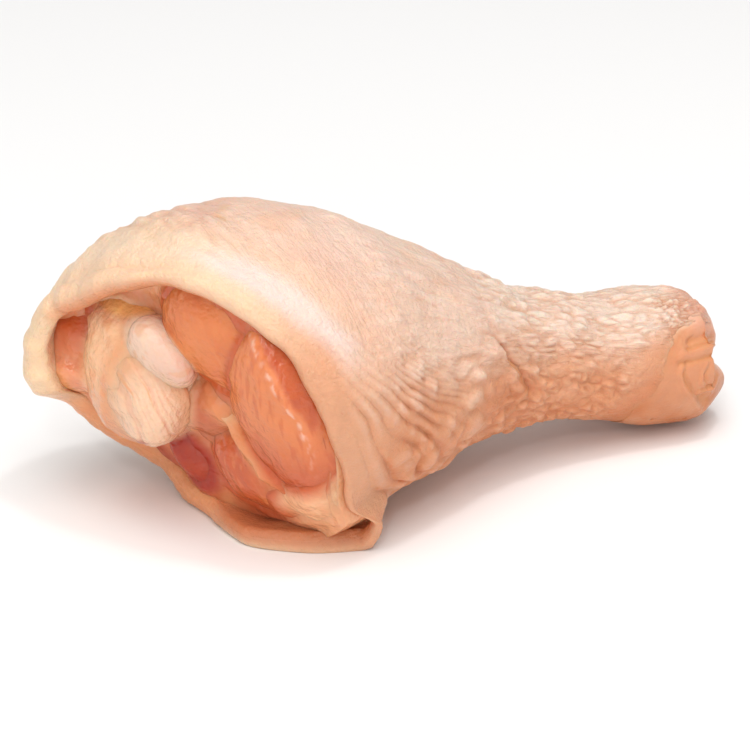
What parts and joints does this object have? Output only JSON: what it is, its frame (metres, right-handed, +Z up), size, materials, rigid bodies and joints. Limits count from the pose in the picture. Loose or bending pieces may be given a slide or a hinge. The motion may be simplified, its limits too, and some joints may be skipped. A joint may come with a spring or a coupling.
{
  "type": "raw chicken drumstick",
  "caption": "Raw chicken drumstick lying on its side: a loose skin sleeve round pink muscles and the shin bone, open at the knee end and narrowing to the bare hock joint.",
  "frame": {"origin": "middle of the underside of the part's box, on the surface it lies on", "axes": "+X from the knee end to the hock, +Z up, +Y away from the side the cut face opens to"},
  "size_m": [0.118, 0.0554, 0.0516],
  "materials": {
    "skin": "moist, pebbled pale yellow-pink skin",
    "bone": "moist pinkish-cream bone and joint",
    "cartilage": "glossy pink-white cartilage",
    "ligament": "moist whitish ligament",
    "fat": "moist cream-yellow fat",
    "muscle": "wet salmon-pink muscle",
    "grey_muscle": "wet grey-brown muscle",
    "dark_muscle": "wet dark red muscle"
  },
  "bodies": {
    "root": {"skin": "skin", "tibia": "bone", "knee_cartilage": "cartilage", "knee_ligament": "ligament", "knee_fat_pad": "fat", "calf_muscle": "muscle", "shin_muscle": "muscle", "seam_fat": "fat", "flexor_muscle": "grey_muscle", "inner_calf_muscle": "dark_muscle", "deep_flexor_muscle": "dark_muscle", "far_muscle": "muscle", "lower_fat": "fat", "shank_meat": "muscle"}
  },
  "joints": []
}
